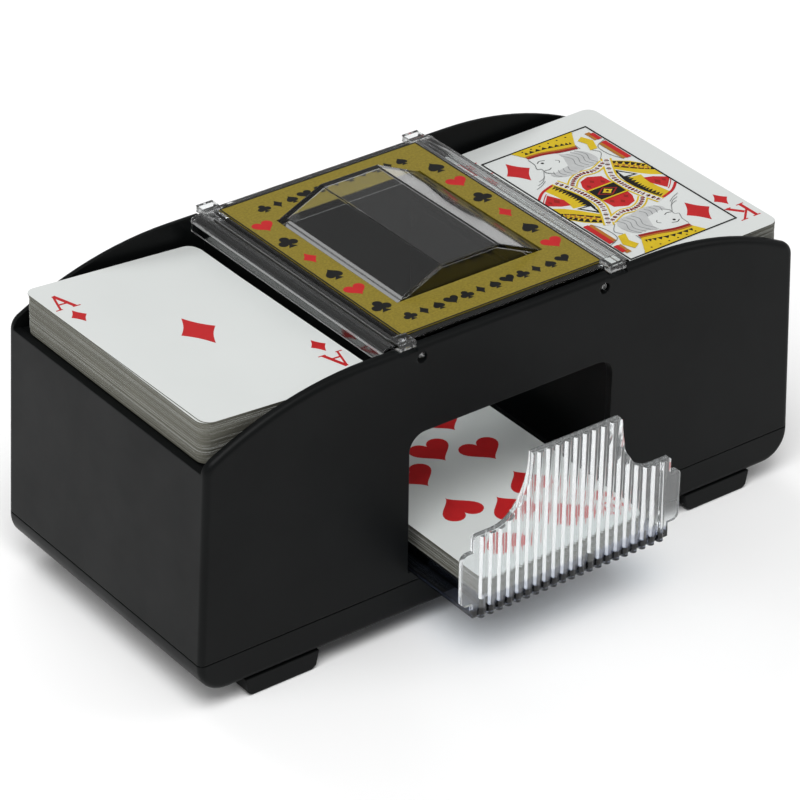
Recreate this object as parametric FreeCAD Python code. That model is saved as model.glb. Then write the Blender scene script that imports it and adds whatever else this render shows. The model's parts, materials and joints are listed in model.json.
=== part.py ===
"""Automatic card shuffler: two card trays, a central bin and a clear drawer.

Frame: millimetres, +X along the length, +Y to the back, +Z up, with the
origin on the table, under the middle of the casing.
Parts of the two drive units are drawn for the right side and mirrored.
"""
import FreeCAD, Part
import math
import os

V = FreeCAD.Vector

# Casing
HALF_DEPTH = 48.8
WALL = 2.5
END_X = 103.3
END_X_HEIGHT = 77.0
DRAFT = 0.0476
BASE_Z = 5.5
SEAM_Z = 15.9
WALL_TOP_Z = 92.1
CREST_HALF = 50.0
CREST_RADIUS = 109.0
END_TOP_Z = 75.9
CORNER_R = 1.8
SHOULDER_R = 5.0
HEEL_R = 9.0
INNER_Y = HALF_DEPTH - WALL

# Front opening and drawer
OPENING_HALF = 36.0
OPENING_BOTTOM_Z = 19.0
OPENING_TOP_Z = 64.1
OPENING_R = 5.5
DRAWER_HALF = 35.0
DRAWER_FLOOR_Z = 19.1
DRAWER_FLOOR_T = 1.5
CARD_REST_Z = 23.8
CARD_REST_HALF_W = 0.9
DRAWER_WALL_T = 1.6
DRAWER_INNER_Y = -75.4
DRAWER_BACK_Y = 15.0
DRAWER_CREST_HALF = 15.5
DRAWER_CREST_Z = 65.8
DRAWER_LOW_HALF = 28.0
DRAWER_LOW_Z = 45.8
EAR_HALF = 38.8
EAR_BOTTOM_Z = 23.6
EAR_TOP_Z = 40.6
EAR_R = 2.0
RIB_R = 1.1
RIB_COUNT = 21
RIB_PITCH = 3.2

# Card trays
FLOOR_OUTER_Z = 75.5
FLOOR_OUTER_X = 101.0
FLOOR_SLOPE = math.tan(math.radians(2.8))
FLOOR_T = 2.0
GATE_X = 36.4
GATE_T = 2.0
DECK_LIFT = 0.7

# Cards
CARD_SHORT = 58.0
CARD_LONG = 88.0
LEFT_DECK = {"inner": 43.1, "outer_top": 89.2, "tilt": 4.4}
RIGHT_DECK = {"inner": 44.2, "outer_top": 84.7, "tilt": 1.2}
SHUFFLED_LEFT_X = -30.9
SHUFFLED_TOP_Z = 29.6

# Drive units, each with parallel shafts along Y
SHAFT_R = 1.5
RUN_GAP = 0.05
AXLE_Z = 65.2
FEED_X = 64.5
EJECT_X = 46.8
FEED_ROLLER_R = 9.0
EJECT_ROLLER_R = 8.0
ROLLER_W = 10.0
ROLLER_Y = 20.0
MODULE = 0.5
FEED_TEETH = 22
EJECT_TEETH = 18
IDLER_SMALL_TEETH = 36
IDLER_LARGE_TEETH = 48
PINION_TEETH = 10
MOTOR_ANGLE = math.radians(-25.0)
PLATE_T = 2.0
FRONT_PLATE_Y = -40.0
REAR_PLATE_Y = 32.5
PLATE_MIDDLES = (FRONT_PLATE_Y + PLATE_T / 2, REAR_PLATE_Y + PLATE_T / 2)
PLATE_END_X = 84.0
PLATE_BOTTOM_Z = 34.0
BUSH_R = 2.6
FLANGE_R = 3.4
FLANGE_T = 0.8
MOTOR_R = 10.0
MOTOR_FLAT = 7.6
MOTOR_FRONT_Y = 8.0
GEAR_Y = 36.0
GEAR_W = 3.0
LARGE_GEAR_Y = 39.5

# Screws that hold each tray floor to its frame
TRAY_SCREW_X = 78.0
TRAY_SCREW_R = 1.1
TRAY_HEAD_R = 2.0

# Clear press cover
COVER_TOP_Z = 93.2
COVER_T = 2.0
COVER_HALF_X = 43.2
COVER_HALF_Y = 45.9
SKIRT_Z = 88.0
SKIRT_T = 0.9
LUG_INNER_X = 34.0
LUG_OUTER_X = 39.6
LUG_INNER_Y = 43.4
LUG_BOTTOM_Z = 92.0
LUG_TOP_Z = 94.0
PRESS_ROOM = 1.5
HUMP_BASE_HALF = 25.5
HUMP_TOP_HALF = 10.0
HUMP_TOP_Z = 100.3
HUMP_HALF_Y = 28.6
HUMP_T = 1.3
LABEL_HALF_X = 35.2
LABEL_HALF_Y = 43.5
LABEL_T = 0.3
PEG_X = 32.0
PEG_R = 1.0
PEG_Z = 88.6
PEG_HOLE_R = 1.7
PEG_HOLE_Z = 88.0
SPRING_X = 35.0
SPRING_Y = 43.6
SPRING_R = 0.95
SPRING_WIRE_R = 0.22
LEDGE_Z = 85.0

# Batteries
CELL_R = 7.1
CELL_L = 50.5
CELL_PITCH = 14.6
CELL_PIP_R = 2.7
CELL_PIP_H = 0.8
CELL_SPRING_R = 3.2
CELL_SPRING_WIRE_R = 0.3
CELL_SPRING_RISE = 3.5
CONTACT_Y = 29.7
BAY_X = 69.5
DOOR_T = 1.8
CELL_Z = BASE_Z + DOOR_T + 0.3 + CELL_R
DOOR_HALF_X = 27.5
DOOR_HALF_Y = 31.0

# Case screws
SCREW_X = 95.0
SCREW_Y = 43.0
SCREW_R = 1.4


def box(x0, x1, y0, y1, z0, z1):
    return Part.makeBox(x1 - x0, y1 - y0, z1 - z0, V(x0, y0, z0))


def rod_y(x, z, radius, y0, y1):
    return Part.makeCylinder(radius, y1 - y0, V(x, y0, z), V(0, 1, 0))


def rod_z(x, y, radius, z0, z1):
    return Part.makeCylinder(radius, z1 - z0, V(x, y, z0))


def prism(points, y0, y1):
    """Extrude a closed outline of (x, z) points from y0 to y1."""
    corners = [V(x, y0, z) for x, z in points]
    face = Part.Face(Part.makePolygon(corners + corners[:1]))
    return face.extrude(V(0, y1 - y0, 0))


def mirror(shape):
    """The same piece on the other side of the middle of the length."""
    return shape.mirror(V(0, 0, 0), V(1, 0, 0))


def both_ends(shape):
    return [shape, mirror(shape)]


def four_corners(shape):
    pair = both_ends(shape)
    return pair + [piece.mirror(V(0, 0, 0), V(0, 1, 0)) for piece in pair]


def fuse(first, *others):
    return first.fuse(list(others)).removeSplitter()


def cut(shape, *tools):
    return shape.cut(list(tools))


def group(pieces):
    """Separate solids that share one node."""
    return Part.makeCompound(pieces)


def save(node, shape):
    for solid in shape.Solids:
        assert solid.isValid() and solid.Volume > 0, node
    shape.exportStep("parts/" + node + ".step")


def end_x(z):
    """Half-length of the casing at height z, with its moulding draft."""
    return END_X + (END_X_HEIGHT - z) * DRAFT


def floor_z(x):
    """Height of a tray floor's top face, which falls towards the middle."""
    return FLOOR_OUTER_Z - (FLOOR_OUTER_X - abs(x)) * FLOOR_SLOPE


# ---------------------------------------------------------------- casing

def crest_z(x):
    """Height of the arched top edge of the long walls."""
    beyond = max(abs(x) - CREST_HALF, 0.0)
    return WALL_TOP_Z - CREST_RADIUS + math.sqrt(CREST_RADIUS ** 2 - beyond ** 2)


def casing_block():
    """The whole outer form of the casing as one solid block."""
    shoulder_x = END_X
    for _ in range(12):
        shoulder_x = end_x(crest_z(shoulder_x))
    foot = V(end_x(BASE_Z), -HALF_DEPTH, BASE_Z)
    shoulder = V(shoulder_x, -HALF_DEPTH, crest_z(shoulder_x))
    halfway_x = (CREST_HALF + shoulder_x) / 2
    halfway = V(halfway_x, -HALF_DEPTH, crest_z(halfway_x))
    crest = V(CREST_HALF, -HALF_DEPTH, WALL_TOP_Z)

    def flip(point):
        return V(-point.x, point.y, point.z)

    wire = Part.Wire([
        Part.makeLine(flip(foot), foot),
        Part.makeLine(foot, shoulder),
        Part.Arc(shoulder, halfway, crest).toShape(),
        Part.makeLine(crest, flip(crest)),
        Part.Arc(flip(crest), flip(halfway), flip(shoulder)).toShape(),
        Part.makeLine(flip(shoulder), flip(foot)),
    ])
    block = Part.Face(wire).extrude(V(0, 2 * HALF_DEPTH, 0))

    def cross_edges(low, high):
        found = []
        for edge in block.Edges:
            middle = edge.CenterOfMass
            along_y = abs(middle.y) < 1 and edge.Length > HALF_DEPTH
            if along_y and abs(middle.x) > END_X - 5 and low < middle.z < high:
                found.append(edge)
        return found

    block = block.makeFillet(SHOULDER_R, cross_edges(SEAM_Z, WALL_TOP_Z))
    block = block.makeFillet(HEEL_R, cross_edges(0, SEAM_Z))
    uprights = [edge for edge in block.Edges
                if abs(edge.CenterOfMass.x) > END_X - 1
                and SEAM_Z < edge.CenterOfMass.z < END_TOP_Z - 5
                and abs(edge.CenterOfMass.y) > HALF_DEPTH - 1]
    return block.makeFillet(CORNER_R, uprights)


def casing_cavity(z0, z1):
    points = [(-end_x(z0) + WALL, z0), (end_x(z0) - WALL, z0),
              (end_x(z1) - WALL, z1), (-end_x(z1) + WALL, z1)]
    return prism(points, -INNER_Y, INNER_Y)


def front_opening():
    tool = box(-OPENING_HALF, OPENING_HALF, -HALF_DEPTH - 1, -INNER_Y + 1,
               OPENING_BOTTOM_Z, OPENING_TOP_Z)
    tops = [edge for edge in tool.Edges
            if edge.CenterOfMass.z > OPENING_TOP_Z - 1
            and abs(edge.CenterOfMass.x) > OPENING_HALF - 1]
    return tool.makeFillet(OPENING_R, tops)


def upper_shell(block):
    shell = block.common(box(-150, 150, -60, 60, SEAM_Z, 120))
    shell = cut(shell, casing_cavity(SEAM_Z - 1, 120),
                box(-150, 150, -INNER_Y, INNER_Y, END_TOP_Z, 120),
                front_opening())
    bosses = four_corners(rod_z(SCREW_X, SCREW_Y, 3.6, SEAM_Z, 60))
    ledges = four_corners(box(33.7, GATE_X, 41.9, INNER_Y, LEDGE_Z - 2, LEDGE_Z))
    shell = fuse(shell, *(bosses + ledges))
    pilots = four_corners(rod_z(SCREW_X, SCREW_Y, SCREW_R, SEAM_Z - 1, 32))
    peg_holes = both_ends(rod_y(PEG_X, PEG_HOLE_Z, PEG_HOLE_R, -60, 60))
    notches = four_corners(box(LUG_INNER_X - 0.5, LUG_OUTER_X + 0.5, INNER_Y - 1, 60,
                               LUG_BOTTOM_Z - PRESS_ROOM, 120))
    outside = box(-150, 150, -60, 60, 0, 120)
    outside = cut(outside, box(-150, 150, -HALF_DEPTH, HALF_DEPTH, 0, 120))
    shell = cut(shell, outside)
    return cut(shell, *(pilots + peg_holes + notches))


def base_tray(block):
    tray = block.common(box(-150, 150, -60, 60, 0, SEAM_Z))
    tray = cut(tray, casing_cavity(BASE_Z + 2.2, SEAM_Z + 1))
    groove = cut(box(-150, 150, -60, 60, SEAM_Z - 0.35, SEAM_Z),
                 box(-end_x(SEAM_Z) + 0.5, end_x(SEAM_Z) - 0.5,
                     -HALF_DEPTH + 0.5, HALF_DEPTH - 0.5, 0, 50))
    tray = cut(tray, groove)
    table = fuse(box(-GATE_X + 0.1, GATE_X - 0.1, -INNER_Y + 0.1, INNER_Y - 0.1, 16.9, 18.9),
                 *both_ends(box(34.3, GATE_X - 0.1, -INNER_Y + 0.1, INNER_Y - 0.1, BASE_Z + 1, 18.9)),
                 *both_ends(box(DRAWER_HALF + 0.4, GATE_X - 0.1, -INNER_Y + 0.1,
                                INNER_Y - 0.1, 18.0, 22.0)))
    posts = four_corners(rod_z(SCREW_X, SCREW_Y, 3.6, BASE_Z + 1, SEAM_Z))
    bay_room = box(-BAY_X - 29.4, -BAY_X + 29.4, -30.3, 30.3, BASE_Z + DOOR_T, 40)
    bay = box(-BAY_X - 30.6, -BAY_X + 30.6, -31.5, 31.5, BASE_Z + 1, 22.0)
    tray = fuse(tray, table, bay, *posts)
    tray = cut(tray, bay_room, door_blank(0.15))
    heads = four_corners(rod_z(SCREW_X, SCREW_Y, 2.9, 0, BASE_Z + 3.4))
    holes = four_corners(rod_z(SCREW_X, SCREW_Y, SCREW_R + 0.1, 0, SEAM_Z + 1))
    return cut(tray, *(heads + holes))


def feet():
    """Four moulded feet, flush with the long faces, with sloping soles."""
    half = [(66.5, BASE_Z), (90.0, BASE_Z), (91.3, BASE_Z), (90.4, 0.9),
            (89.2, 0.0), (69.0, 0.0), (67.6, 0.9)]
    return group(four_corners(prism(half, -HALF_DEPTH, -HALF_DEPTH + 13.0)))


def case_screws():
    screw = fuse(rod_z(SCREW_X, SCREW_Y, 2.7, BASE_Z + 1.4, BASE_Z + 3.4),
                 rod_z(SCREW_X, SCREW_Y, SCREW_R, BASE_Z + 3.4, 30))
    slot = box(SCREW_X - 2.0, SCREW_X + 2.0, SCREW_Y - 0.35, SCREW_Y + 0.35, BASE_Z, BASE_Z + 2.2)
    cross = box(SCREW_X - 0.35, SCREW_X + 0.35, SCREW_Y - 2.0, SCREW_Y + 2.0, BASE_Z, BASE_Z + 2.2)
    return group(four_corners(cut(screw, slot, cross)))


# ---------------------------------------------------------------- trays

def roller_slots():
    """Slots through a tray floor, one over each roller."""
    slots = []
    for side in (-1, 1):
        y = side * ROLLER_Y
        for x, radius in ((FEED_X, FEED_ROLLER_R), (EJECT_X, EJECT_ROLLER_R)):
            drop = AXLE_Z - floor_z(x) + FLOOR_T
            reach = math.sqrt(radius ** 2 - drop ** 2) + 0.8
            slots.append(box(x - reach, x + reach, y - ROLLER_W / 2 - 0.8,
                             y + ROLLER_W / 2 + 0.8, 60, 90))
    return slots


def tray_floor():
    inner = GATE_X
    outer = 110.0
    points = [(inner, floor_z(inner) - FLOOR_T), (outer, floor_z(outer) - FLOOR_T),
              (outer, floor_z(outer)), (inner, floor_z(inner))]
    slab = prism(points, -60, 60).common(casing_cavity(SEAM_Z, 100))
    leg_notch = box(38.9, 42.0, -INNER_Y, -44.3, 60, 90)
    screw_seats = []
    for y in PLATE_MIDDLES:
        screw_seats.append(rod_z(TRAY_SCREW_X, y, TRAY_HEAD_R + 0.1, floor_z(TRAY_SCREW_X) - 1.2, 90))
        screw_seats.append(rod_z(TRAY_SCREW_X, y, TRAY_SCREW_R + 0.1, 60, 90))
    return cut(slab, leg_notch, *(roller_slots() + screw_seats))


def tray_screws():
    screws = []
    for y in PLATE_MIDDLES:
        top = floor_z(TRAY_SCREW_X)
        screws.append(fuse(rod_z(TRAY_SCREW_X, y, TRAY_HEAD_R, top - 1.2, top - 0.2),
                           rod_z(TRAY_SCREW_X, y, TRAY_SCREW_R, 62, top - 1.0)))
    return group(screws + [mirror(screw) for screw in screws])


def gate_plate():
    """Hanging plate that lets only the lowest card of a deck go by."""
    return box(GATE_X, GATE_X + GATE_T, -INNER_Y, INNER_Y, floor_z(GATE_X) + 1.1, 89.8)


# ---------------------------------------------------------------- drive units

def idler_centre():
    """Where the idler meshes with both roller gears at once."""
    to_eject = MODULE * (IDLER_SMALL_TEETH + EJECT_TEETH) / 2
    to_feed = MODULE * (IDLER_SMALL_TEETH + FEED_TEETH) / 2
    span = FEED_X - EJECT_X
    along = (to_eject ** 2 - to_feed ** 2 + span ** 2) / (2 * span)
    down = math.sqrt(to_eject ** 2 - along ** 2)
    return EJECT_X + along, AXLE_Z - down


def motor_centre():
    x, z = idler_centre()
    reach = MODULE * (IDLER_LARGE_TEETH + PINION_TEETH) / 2
    return x + reach * math.cos(MOTOR_ANGLE), z + reach * math.sin(MOTOR_ANGLE)


def meshed_phase(centre, teeth, phase, other_centre, other_teeth):
    """Angle of a tooth of the other gear, so that its gap meets a tooth."""
    line = math.atan2(other_centre[1] - centre[1], other_centre[0] - centre[0])
    share = (line - phase) * teeth / (2 * math.pi)
    return line + math.pi - (0.5 - share) * 2 * math.pi / other_teeth


def spur_gear(centre, teeth, phase, bore, y0, width):
    """Involute spur gear on an axis along Y, with a little backlash."""
    pitch_r = MODULE * teeth / 2
    base_r = pitch_r * math.cos(math.radians(20))
    tip_r = pitch_r + 0.92 * MODULE
    root_r = pitch_r - 1.2 * MODULE
    half_pitch_angle = math.pi / (2 * teeth) - 0.035 / pitch_r

    def involute(radius):
        if radius <= base_r:
            return 0.0
        slip = math.acos(base_r / radius)
        return math.tan(slip) - slip

    flank = []
    for step in range(4):
        radius = max(base_r, root_r) + (tip_r - max(base_r, root_r)) * step / 3
        flank.append((radius, half_pitch_angle + involute(pitch_r) - involute(radius)))
    if root_r < base_r:
        flank.insert(0, (root_r, flank[0][1]))
    points = []
    for tooth in range(teeth):
        middle = phase + 2 * math.pi * tooth / teeth
        outline = [(r, -a) for r, a in flank] + [(r, a) for r, a in reversed(flank)]
        for radius, offset in outline:
            points.append((centre[0] + radius * math.cos(middle + offset),
                           centre[1] + radius * math.sin(middle + offset)))
    body = prism(points, y0, y0 + width)
    return cut(body, rod_y(centre[0], centre[1], bore, y0 - 1, y0 + width + 1))


def drive_frame():
    """Moulded frame: a bin wall and two plates that carry shafts and motor."""
    under = FLOOR_T
    bin_wall = box(GATE_X, GATE_X + 1.8, -INNER_Y + 0.1, INNER_Y - 0.1, SEAM_Z, 68.0)
    bin_wall = bin_wall.fuse(box(GATE_X, GATE_X + 1.8, -INNER_Y + 0.1, INNER_Y - 0.1,
                                 67.0, floor_z(GATE_X) - under - 0.02))
    outline = [(GATE_X + 1, PLATE_BOTTOM_Z), (PLATE_END_X, PLATE_BOTTOM_Z),
               (PLATE_END_X, floor_z(PLATE_END_X) - under),
               (GATE_X + 1, floor_z(GATE_X + 1) - under)]
    plates = [prism(outline, y, y + PLATE_T) for y in (FRONT_PLATE_Y, REAR_PLATE_Y)]
    boss_under = box(70, 90, -60, 60, 0, floor_z(TRAY_SCREW_X) - under - 0.2)
    bosses = [rod_z(TRAY_SCREW_X, y, 2.6, 60, 80).common(boss_under) for y in PLATE_MIDDLES]
    frame = fuse(bin_wall, *(plates + bosses))
    idler_x, idler_z = idler_centre()
    motor_x, motor_z = motor_centre()
    holes = [rod_y(x, AXLE_Z, BUSH_R, -60, 60) for x in (FEED_X, EJECT_X)]
    holes += [rod_y(idler_x, idler_z, SHAFT_R, 0, 60), rod_y(motor_x, motor_z, 3.4, 0, 60)]
    for y in PLATE_MIDDLES:
        holes.append(rod_z(TRAY_SCREW_X, y, TRAY_SCREW_R, 62, 90))
    holes.append(prism([(48, 38), (78, 38), (78, 52), (48, 52)], -60, 0))
    return cut(frame, *holes)


def shaft_bushes():
    bushes = []
    for x in (FEED_X, EJECT_X):
        for y, flange in ((FRONT_PLATE_Y, FRONT_PLATE_Y + PLATE_T),
                          (REAR_PLATE_Y, REAR_PLATE_Y - FLANGE_T)):
            sleeve = fuse(rod_y(x, AXLE_Z, BUSH_R, y, y + PLATE_T),
                          rod_y(x, AXLE_Z, FLANGE_R, flange, flange + FLANGE_T))
            bushes.append(cut(sleeve, rod_y(x, AXLE_Z, SHAFT_R + RUN_GAP, -60, 60)))
    return group(bushes)


def roller_shaft(x):
    return rod_y(x, AXLE_Z, SHAFT_R, FRONT_PLATE_Y - 1.0, GEAR_Y + GEAR_W + 0.3)


def rubber_rollers(x, radius):
    """Two grooved rubber tyres on one shaft."""
    tyres = []
    for side in (-1, 1):
        y = side * ROLLER_Y
        tyre = rod_y(x, AXLE_Z, radius, y - ROLLER_W / 2, y + ROLLER_W / 2)
        grooves = []
        for step in (-1, 0, 1):
            middle = y + step * 2.6
            ring = cut(rod_y(x, AXLE_Z, radius + 1, middle - 0.4, middle + 0.4),
                       rod_y(x, AXLE_Z, radius - 0.6, middle - 1, middle + 1))
            grooves.append(ring)
        tyres.append(cut(tyre, rod_y(x, AXLE_Z, SHAFT_R, -60, 60), *grooves))
    return group(tyres)


def idler_pin():
    x, z = idler_centre()
    return rod_y(x, z, SHAFT_R, REAR_PLATE_Y, 43.6)


def idler_gear():
    centre = idler_centre()
    small = spur_gear(centre, IDLER_SMALL_TEETH, 0.0, SHAFT_R + RUN_GAP, GEAR_Y, GEAR_W)
    large = spur_gear(centre, IDLER_LARGE_TEETH, 0.0, SHAFT_R + RUN_GAP, LARGE_GEAR_Y, GEAR_W)
    hub = rod_y(centre[0], centre[1], 4.0, REAR_PLATE_Y + PLATE_T + 0.3, LARGE_GEAR_Y + GEAR_W)
    hub = cut(hub, rod_y(centre[0], centre[1], SHAFT_R + RUN_GAP, 0, 60))
    return fuse(small, large, hub)


def roller_gear(x, teeth):
    centre = idler_centre()
    phase = meshed_phase(centre, IDLER_SMALL_TEETH, 0.0, (x, AXLE_Z), teeth)
    return spur_gear((x, AXLE_Z), teeth, phase, SHAFT_R, GEAR_Y, GEAR_W)


def motor_can():
    """Flat-sided motor can with its end cap and shaft bearing."""
    x, z = motor_centre()
    can = rod_y(x, z, MOTOR_R, MOTOR_FRONT_Y, REAR_PLATE_Y)
    can = can.common(box(x - MOTOR_R, x + MOTOR_R, 0, 60, z - MOTOR_FLAT, z + MOTOR_FLAT))
    cap = rod_y(x, z, 4.6, MOTOR_FRONT_Y - 2.4, MOTOR_FRONT_Y)
    nose = rod_y(x, z, 3.0, REAR_PLATE_Y, REAR_PLATE_Y + 1.6)
    motor = fuse(can, cap, nose)
    return cut(motor, rod_y(x, z, 1.0 + RUN_GAP, 26.0, 60))


def motor_pinion():
    centre = motor_centre()
    phase = meshed_phase(idler_centre(), IDLER_LARGE_TEETH, 0.0, centre, PINION_TEETH)
    gear = spur_gear(centre, PINION_TEETH, phase, 0.9, LARGE_GEAR_Y - 0.4, GEAR_W + 0.8)
    shaft = rod_y(centre[0], centre[1], 1.0, 27.0, LARGE_GEAR_Y + GEAR_W + 0.9)
    return fuse(gear, shaft)


# ---------------------------------------------------------------- press cover

def cover_section():
    """Half of the cover plate's section, with its ridges and its skirt."""
    top = COVER_TOP_Z
    under = COVER_TOP_Z - COVER_T
    return [(0.0, top), (35.7, top), (36.0, top + 0.5), (36.8, top + 0.5), (37.1, top - 0.1),
            (38.4, top - 0.1), (38.7, top + 0.3), (39.3, top + 0.3), (39.7, top - 0.5),
            (COVER_HALF_X - 1.4, top - 0.6), (COVER_HALF_X - 0.4, top - 0.9), (COVER_HALF_X, top - 1.6),
            (COVER_HALF_X, SKIRT_Z), (COVER_HALF_X - SKIRT_T, SKIRT_Z),
            (COVER_HALF_X - SKIRT_T, under - 0.9), (COVER_HALF_X - 2.4, under), (0.0, under)]


def hump_outline(inset, base_z):
    run = (HUMP_BASE_HALF - HUMP_TOP_HALF) / (HUMP_TOP_Z - COVER_TOP_Z)
    top_z = HUMP_TOP_Z - inset
    side = inset * math.sqrt(1 + run ** 2)
    top = HUMP_TOP_HALF - side + inset * run
    base = top + (top_z - COVER_TOP_Z) * run
    return [(-base, base_z), (base, base_z), (base, COVER_TOP_Z), (top, top_z),
            (-top, top_z), (-base, COVER_TOP_Z)]


def top_cover():
    half = prism(cover_section(), -COVER_HALF_Y, COVER_HALF_Y)
    hump = prism(hump_outline(0.0, COVER_TOP_Z - COVER_T), -HUMP_HALF_Y, HUMP_HALF_Y)
    legs = four_corners(box(PEG_X - 1.6, PEG_X + 1.6, COVER_HALF_Y - 1.0, COVER_HALF_Y,
                            87.3, COVER_TOP_Z - 1))
    pegs = four_corners(rod_y(PEG_X, PEG_Z, PEG_R, COVER_HALF_Y - 0.5, HALF_DEPTH - 0.3))
    lugs = four_corners(box(LUG_INNER_X, LUG_OUTER_X, LUG_INNER_Y, HALF_DEPTH - 0.2,
                            LUG_BOTTOM_Z, LUG_TOP_Z))
    switch_leg = box(-41.6, -39.3, -45.9, -44.6, 62.1, COVER_TOP_Z - 1)
    cover = fuse(half, mirror(half), hump, switch_leg, *(legs + pegs + lugs))
    hollow = prism(hump_outline(HUMP_T, COVER_TOP_Z - 4), -HUMP_HALF_Y + HUMP_T, HUMP_HALF_Y - HUMP_T)
    return cut(cover, hollow)


def cover_label():
    """Printed sheet on the cover, with a window around the hump."""
    sheet = box(-LABEL_HALF_X, LABEL_HALF_X, -LABEL_HALF_Y, LABEL_HALF_Y,
                COVER_TOP_Z, COVER_TOP_Z + LABEL_T)
    window = box(-HUMP_BASE_HALF - 0.1, HUMP_BASE_HALF + 0.1, -HUMP_HALF_Y - 0.1, HUMP_HALF_Y + 0.1,
                 COVER_TOP_Z - 1, COVER_TOP_Z + 1)
    lug_room = four_corners(box(LUG_INNER_X - 0.1, LUG_OUTER_X + 0.1, LUG_INNER_Y - 0.1, 60,
                                COVER_TOP_Z - 1, COVER_TOP_Z + 1))
    return cut(sheet, window, *lug_room)


def coil_spring(coil_r, wire_r, rise, turns, lengths):
    """Open coil spring along Z from the origin, joined up from equal lengths."""
    path = Part.makeHelix(rise / turns, rise / lengths, coil_r)
    section = Part.Wire(Part.makeCircle(wire_r, V(coil_r, 0, 0), V(0, 1, 0)))
    first = Part.Wire(path.Edges).makePipeShell([section], True, True)
    pieces = []
    for number in range(lengths):
        piece = first.copy()
        piece.rotate(V(0, 0, 0), V(0, 0, 1), 360 * turns * number / lengths)
        piece.translate(V(0, 0, rise * number / lengths))
        pieces.append(piece)
    return first.fuse(pieces[1:]) if lengths > 1 else first


def cover_springs():
    """Return springs between the ledges in the casing and the cover."""
    end_gap = SPRING_WIRE_R + 0.02
    rise = COVER_TOP_Z - COVER_T - LEDGE_Z - 2 * end_gap
    spring = coil_spring(SPRING_R, SPRING_WIRE_R, rise, 6, 1)
    spring.translate(V(SPRING_X, SPRING_Y, LEDGE_Z + end_gap))
    return group(four_corners(spring))


def switch_body():
    body = box(-46.0, -38.9, -46.2, -41.6, 48.0, 58.0)
    well = box(-41.7, -39.2, -46.0, -44.5, 52.0, 60)
    tabs = fuse(box(-45.2, -44.6, -44.4, -43.4, 44.5, 48.0), box(-41.2, -40.6, -44.4, -43.4, 44.5, 48.0))
    return fuse(cut(body, well), tabs)


def switch_button():
    return box(-41.6, -39.3, -45.9, -44.6, 55.0, 62.0)


# ---------------------------------------------------------------- drawer

def drawer_edge_z(x):
    """Height of the drawer front's top edge: a crest with hollow shoulders."""
    run = abs(x)
    if run <= DRAWER_CREST_HALF:
        return DRAWER_CREST_Z
    if run >= DRAWER_LOW_HALF:
        return DRAWER_LOW_Z
    share = (DRAWER_LOW_HALF - run) / (DRAWER_LOW_HALF - DRAWER_CREST_HALF)
    return DRAWER_LOW_Z + (DRAWER_CREST_Z - DRAWER_LOW_Z) * (1 - math.sqrt(1 - share ** 2))


def drawer_front():
    outer_y = DRAWER_INNER_Y - DRAWER_WALL_T
    middle_y = DRAWER_INNER_Y - DRAWER_WALL_T / 2
    steps = 12
    edge = []
    for step in range(steps + 1):
        angle = math.pi / 2 * step / steps
        x = DRAWER_LOW_HALF - (DRAWER_LOW_HALF - DRAWER_CREST_HALF) * math.cos(angle)
        edge.append((x, drawer_edge_z(x)))
    outline = [(-x, z) for x, z in reversed(edge)] + edge
    outline += [(34.2, DRAWER_LOW_Z), (DRAWER_HALF, DRAWER_LOW_Z - 0.8), (DRAWER_HALF, DRAWER_FLOOR_Z),
                (-DRAWER_HALF, DRAWER_FLOOR_Z), (-DRAWER_HALF, DRAWER_LOW_Z - 0.8), (-34.2, DRAWER_LOW_Z)]
    sheet = prism(outline, outer_y, DRAWER_INNER_Y)
    ear = box(DRAWER_HALF - 1, EAR_HALF, outer_y, DRAWER_INNER_Y, EAR_BOTTOM_Z, EAR_TOP_Z)
    ear_corners = [edge for edge in ear.Edges
                   if edge.CenterOfMass.x > EAR_HALF - 0.1 and abs(edge.CenterOfMass.y - middle_y) < 0.1]
    ear = ear.makeFillet(EAR_R, ear_corners)
    under_edge = prism([(x, z - 0.25) for x, z in outline], outer_y - 3, outer_y + 0.6)
    ribs = []
    for number in range(RIB_COUNT):
        x = (number - (RIB_COUNT - 1) / 2) * RIB_PITCH
        rib = rod_z(x, outer_y, RIB_R, DRAWER_FLOOR_Z - 0.5, DRAWER_CREST_Z)
        ribs.append(rib.common(under_edge))
    return fuse(sheet, *(both_ends(ear) + ribs))


def drawer():
    floor = box(-DRAWER_HALF, DRAWER_HALF, DRAWER_INNER_Y - 0.5, DRAWER_BACK_Y,
                DRAWER_FLOOR_Z, DRAWER_FLOOR_Z + DRAWER_FLOOR_T)
    stop = box(-20, 20, DRAWER_BACK_Y - 1.6, DRAWER_BACK_Y, DRAWER_FLOOR_Z, CARD_REST_Z + 1.5)
    rests = [box(x - CARD_REST_HALF_W, x + CARD_REST_HALF_W, DRAWER_INNER_Y - 0.5, DRAWER_BACK_Y - 1,
                 DRAWER_FLOOR_Z, CARD_REST_Z) for x in (-30.0, -10.0, 8.0, 26.0)]
    return fuse(floor, stop, drawer_front(), *rests)


# ---------------------------------------------------------------- cards

def tray_deck(inner, outer_top, tilt):
    """A loose deck in the right tray; its top and its bottom slope apart a little."""
    outer = inner + CARD_SHORT
    rise = math.tan(math.radians(tilt)) * CARD_SHORT
    points = [(inner, floor_z(inner) + DECK_LIFT), (outer, floor_z(outer) + DECK_LIFT),
              (outer, outer_top), (inner, outer_top - rise)]
    return prism(points, -CARD_LONG / 2, CARD_LONG / 2)


def shuffled_cards():
    front = DRAWER_INNER_Y + 0.05
    return box(SHUFFLED_LEFT_X, SHUFFLED_LEFT_X + CARD_SHORT, front, front + CARD_LONG,
               CARD_REST_Z, SHUFFLED_TOP_Z)


# ---------------------------------------------------------------- batteries

def cell_x(number):
    return -BAY_X + (number - 1.5) * CELL_PITCH


def cell_facing(number):
    """Which way a cell's raised end points along Y; neighbours alternate."""
    return 1 if number % 2 == 0 else -1


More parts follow.
